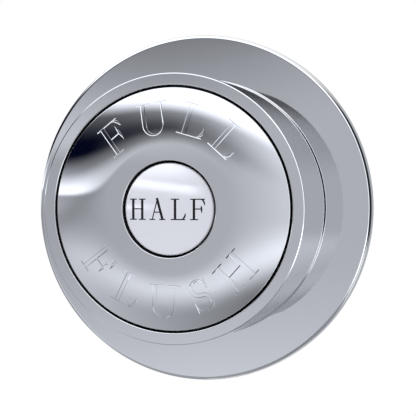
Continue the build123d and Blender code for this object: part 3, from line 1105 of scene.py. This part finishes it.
# Reflection cards round the part, the studio that the chrome shows; seen in gloss only.
# Angles in degrees from the buttons' axis: across (right is more) and up. Soft is the fading edge at
# (left, right, low, high). Level is the light from left to right, with its middle value at bend.
# Lean is how far the card climbs for each degree across, and veil is the share that a card hides of
# what stands behind it. Later cards stand nearer.
cardSet = {
    "away": 3.0, "nearer": 0.03, "tint": (0.967, 1.0, 1.085), "meshStep": 3, "fewest": 4,
    "cards": [
        {"name": "rightScreen", "across": (100, 215), "up": (-60, 40),
         "soft": (20, 40, 15, 15), "level": (0.55, 0.40)},
        {"name": "frontScreen", "across": (-85, 86), "up": (-55, 50),
         "soft": (15, 30, 12, 10), "level": (0.0, 0.505, 0.47), "bend": -11},
        {"name": "lowGlow", "across": (-95, 6), "up": (-39, 0),
         "soft": (10, 22, 21.3, 14.6), "level": (0.34, 1.1), "lean": -0.053},
        {"name": "lowGrey", "across": (-95, 40), "up": (-60, -8.8),
         "soft": (10, 20, 10, 20.8), "level": (0.86, 0.01), "lean": -0.034},
        {"name": "darkFlag", "across": (-106, 4), "up": (-5.3, 22.3),
         "soft": (5, 34, 6.1, 0.4), "level": (0.81, 0.0), "lean": 0.196},
        {"name": "blackCore", "across": (-125, 28), "up": (6.7, 35.8),
         "soft": (5, 70, 6.2, 4.6), "level": (0.006, 0.006), "lean": -0.033, "tint": (0.15, 0.3, 2.0)},
        {"name": "leftStrip", "across": (-95, -10), "up": (2.1, 8.6),
         "soft": (5, 36, 1.2, 5.4), "level": (1.4, 1.4), "lean": -0.031},
        {"name": "haze", "across": (-110, 38), "up": (14.3, 60),
         "soft": (10, 20, 14.5, 10), "level": (0.15, 0.19, 0.88), "bend": -36, "lean": -0.151},
        {"name": "ceiling", "across": (-110, 38), "up": (22.6, 90),
         "soft": (10, 20, 8.0, 10), "level": (1.4, 1.4), "lean": -0.13},
        {"name": "rightFlag", "across": (43, 140), "up": (-22, 64),
         "soft": (4, 22, 12, 26), "level": (0.01, 0.06)},
        {"name": "leftFlag", "across": (-130, -55), "up": (-42, 2),
         "soft": (5, 9, 12, 5), "level": (0.33, 0.33)},
        {"name": "lowRightFlag", "across": (14, 130), "up": (-80, -34),
         "soft": (10, 25, 10, 7), "level": (0.3, 0.3), "lean": -0.2},
        {"name": "below", "across": (-180, 180), "up": (-90, -45),
         "soft": (0.5, 0.5, 0.5, 14), "level": (0.36, 0.36), "lean": -0.13},
        # veils: the ring alone sees their light, so they darken what the collar shows
        {"name": "collarVeil", "only": "full_ring_lettered", "across": (-17, 2), "up": (6, 18),
         "soft": (4, 14, 3, 4), "level": (0.16, 0.40), "veil": 0.56},
        {"name": "lowVeil", "only": "full_ring_lettered", "across": (-16, 2), "up": (-19.5, -8.5),
         "soft": (3, 9, 5, 1), "level": (0.86, 0.56), "veil": 0.5},
        # light for one piece alone, linked to it
        {"name": "bezelLow", "only": "bezel_chromed", "across": (1, 50), "up": (-32, -5),
         "soft": (12, 6, 12, 4), "level": (0.1, 0.25, 1.2), "bend": 12},
        {"name": "bezelStrip", "only": "bezel_chromed", "across": (22, 43), "up": (-27, 50),
         "soft": (6, 3, 10, 10), "level": (0.8, 0.8)},
        {"name": "ringGlow", "only": "full_ring_lettered", "across": (-16, 46), "up": (-27, -3),
         "soft": (22, 15, 16, 14.6), "level": (0.47, 0.5)},
        {"name": "ringRight", "only": "full_ring_lettered", "across": (-11, 86), "up": (-25, 50),
         "soft": (0.5, 30, 14, 10), "level": (0.0, 0.66)},
        {"name": "ringEdge", "only": "full_ring_lettered", "across": (60, 160), "up": (-60, 70),
         "soft": (10, 20, 15, 15), "level": (1.4, 1.4)},
        {"name": "capSky", "only": "half_cap_lettered", "across": (-75, -6), "up": (4, 60),
         "soft": (10, 11, 4.5, 20), "level": (5, 5)},
        {"name": "capStrip", "only": "half_cap_lettered", "across": (-45, -8), "up": (3.25, 6.15),
         "soft": (10, 5.5, 1.5, 0.9), "level": (4.8, 5.4), "lean": -0.1},
        {"name": "capGlint", "only": "half_cap_lettered", "across": (-31, -17), "up": (-1.2, 0.4),
         "soft": (1, 9, 0.6, 0.6), "level": (4.4, 4.4)},
    ],
}


def cardSheet(card, away, s=cardSet):
    left, right = card["across"]
    low, high = card["up"]
    columns = max(s["fewest"], round((right - left) / s["meshStep"]))
    lines = max(s["fewest"], round((high - low) / s["meshStep"]))
    points, faces = [], []
    for j in range(lines + 1):
        for i in range(columns + 1):
            off = (right - left) * (i / columns - 0.5)
            across = math.radians((left + right) / 2 + off)
            up = math.radians(low + (high - low) * j / lines + card.get("lean", 0) * off)
            flat = away * math.cos(up)
            points.append((flat * math.sin(across), -flat * math.cos(across), away * math.sin(up)))
    for j in range(lines):
        for i in range(columns):
            a = j * (columns + 1) + i
            faces.append([a, a + 1, a + columns + 2, a + columns + 1])
    mesh = bpy.data.meshes.new(card["name"])
    mesh.from_pydata(points, [], faces)
    sheet = mesh.uv_layers.new(name="sheet").data
    for loop in mesh.loops:
        j, i = divmod(loop.vertex_index, columns + 1)
        sheet[loop.index].uv = (i / columns, j / lines)
    return mesh


def cardLight(card, s=cardSet):
    left, right = card["across"]
    wide, tall = right - left, card["up"][1] - card["up"][0]
    softLeft, softRight, softLow, softHigh = card["soft"]
    f = Finish(card["name"])
    uv = f.node("ShaderNodeUVMap", {"uv_map": "sheet"})
    over = f.node("ShaderNodeSeparateXYZ", {}, {"Vector": uv}, out="X")
    rise = Wire(f, over.socket.node.outputs["Y"])
    mask = f.fade(over, 0.0, softLeft / wide) * (1 - f.fade(over, 1 - softRight / wide, 1.0))
    mask = mask * f.fade(rise, 0.0, softLow / tall) * (1 - f.fade(rise, 1 - softHigh / tall, 1.0))
    colours = [(*(level * t for t in card.get("tint", s["tint"])), 1) for level in card["level"]]
    if "bend" in card:
        stops = zip((0, (card["bend"] - left) / wide, 1), colours)
        colour = f.node("ShaderNodeValToRGB", {"stops": list(stops)}, {"Fac": over})
    else:
        colour = f.mix(over, *colours)
    clear = f.node("ShaderNodeBsdfTransparent")
    if "only" in card and "veil" not in card:  # adds its light to what stands behind it
        colour = f.mix(mask, (0, 0, 0, 1), colour)
        glow = f.node("ShaderNodeEmission", {}, {"Color": colour, "Strength": 1.0})
        return f.close(f.node("ShaderNodeAddShader", {}, {0: clear, 1: glow}))
    if "veil" in card:
        mask = mask * card["veil"]
    glow = f.node("ShaderNodeEmission", {}, {"Color": colour, "Strength": 1.0})
    return f.close(f.node("ShaderNodeMixShader", {}, {0: mask, 1: clear, 2: glow}))


def makeCard(card, order, s=cardSet):
    sheet = cardSheet(card, s["away"] - order * s["nearer"])
    sheet.materials.append(cardLight(card))
    stand = bpy.data.objects.new(card["name"], sheet)
    scene.collection.objects.link(stand)
    stand.visible_camera = False
    stand.visible_diffuse = False
    stand.visible_shadow = False
    if "only" in card:
        receivers = bpy.data.collections.new(card["name"] + "Receivers")
        receivers.objects.link(bpy.data.objects[card["only"]])
        stand.light_linking.receiver_collection = receivers


for order, card in enumerate(cardSet["cards"]):
    makeCard(card, order)
print("cards:", len(cardSet["cards"]))

# Floor: a pale round table well under the part, fading into the white; in metres
floorShape = {
    "height": -0.14, "radius": 0.22, "fade": 0.10, "rings": 12, "turns": 96,
    "pale": (0.86, 0.86, 0.87, 1), "grey": (0.82, 0.82, 0.83, 1), "cloudScale": 60, "roughness": 0.5,
}


def makeFloor(s=floorShape):
    rings, turns = s["rings"], s["turns"]
    points = [(0, 0, s["height"])]
    faces = []
    for i in range(1, rings + 1):
        for j in range(turns):
            x, y = onFace(s["radius"] * i / rings, math.tau * j / turns)
            points.append((x, y, s["height"]))
    for j in range(turns):
        k = (j + 1) % turns
        faces.append([0, 1 + k, 1 + j])
        for i in range(rings - 1):
            a, b = 1 + i * turns, 1 + (i + 1) * turns
            faces.append([a + j, a + k, b + k, b + j])
    mesh = bpy.data.meshes.new("floor")
    mesh.from_pydata(points, [], faces)
    f = Finish("paleFloor")
    out = f.node("ShaderNodeVectorMath", {"operation": "LENGTH"}, {0: f.place((1, 1, 0))}, out="Value")
    mask = f.fade(out, s["radius"] - s["fade"], s["radius"], 1.0, 0.0)
    paint = f.mix(f.noise(s["cloudScale"], detail=3), s["pale"], s["grey"])
    cloth = f.node("ShaderNodeBsdfDiffuse", {}, {"Color": paint, "Roughness": s["roughness"]})
    clear = f.node("ShaderNodeBsdfTransparent")
    mesh.materials.append(f.close(f.node("ShaderNodeMixShader", {}, {0: mask, 1: clear, 2: cloth})))
    floor = bpy.data.objects.new("floor", mesh)
    scene.collection.objects.link(floor)
    floor.visible_glossy = False  # the chrome shows the cards instead


makeFloor()
print("floor set")

# White all round at strength 1
world = bpy.data.worlds.new("whiteStudio")
scene.world = world
world.use_nodes = True
background = world.node_tree.nodes["Background"].inputs
background["Color"].default_value = (1, 1, 1, 1)
background["Strength"].default_value = 1.0

# Camera at the photograph's viewing angle: places in metres, lens and sensor in mm
cameraShape = {
    "place": (0.08553, -0.29901, 0.00424), "aim": (0.007904, -0.0245, 0.000252),
    "lens": 121.15, "sensor": 36.0, "nearest": 0.01, "farthest": 20,
}
lens = bpy.data.cameras.new("camera")
lens.lens = cameraShape["lens"]
lens.sensor_width = cameraShape["sensor"]
lens.clip_start = cameraShape["nearest"]
lens.clip_end = cameraShape["farthest"]
camera = bpy.data.objects.new("camera", lens)
scene.collection.objects.link(camera)
camera.location = cameraShape["place"]
camera.rotation_mode = "QUATERNION"
lookAlong = Vector(cameraShape["aim"]) - Vector(cameraShape["place"])
camera.rotation_quaternion = lookAlong.to_track_quat("-Z", "Y")
scene.camera = camera
print("camera set")
